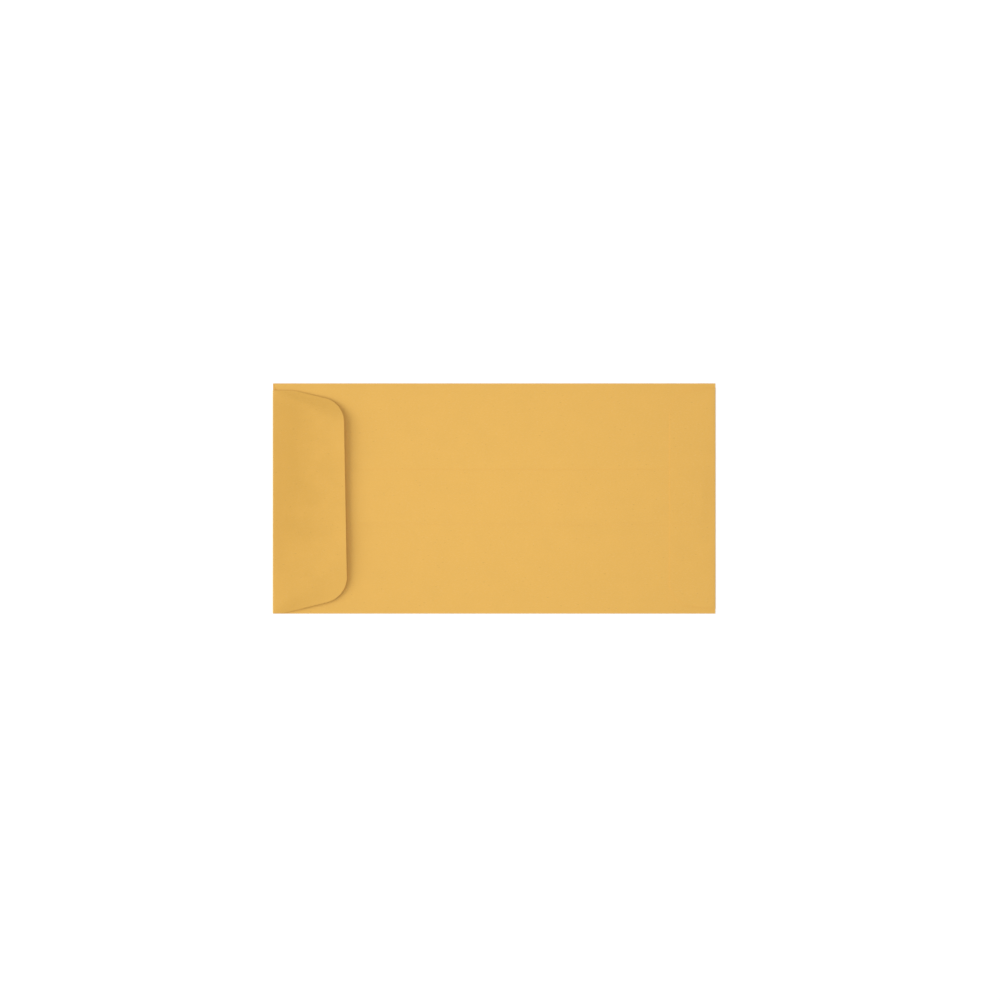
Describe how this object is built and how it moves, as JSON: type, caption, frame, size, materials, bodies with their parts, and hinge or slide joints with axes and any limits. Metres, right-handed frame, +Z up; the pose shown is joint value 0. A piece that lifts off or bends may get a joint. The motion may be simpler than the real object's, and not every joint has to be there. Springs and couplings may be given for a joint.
{
  "type": "paper envelope",
  "caption": "Flat open-end kraft paper envelope with a lapped centre seam, a glued bottom flap and a rounded closure flap folded over the mouth.",
  "frame": {"origin": "on the surface the envelope lies on, under the middle of its length and width", "axes": "+X along the length from the closure fold to the bottom fold, +Y across the width, +Z up, out of the flap side"},
  "size_m": [0.1905, 0.099, 0.0048],
  "materials": {
    "kraft_paper": "uncoated golden brown kraft paper, matte"
  },
  "bodies": {
    "root": {"envelope": "kraft_paper"}
  },
  "joints": []
}
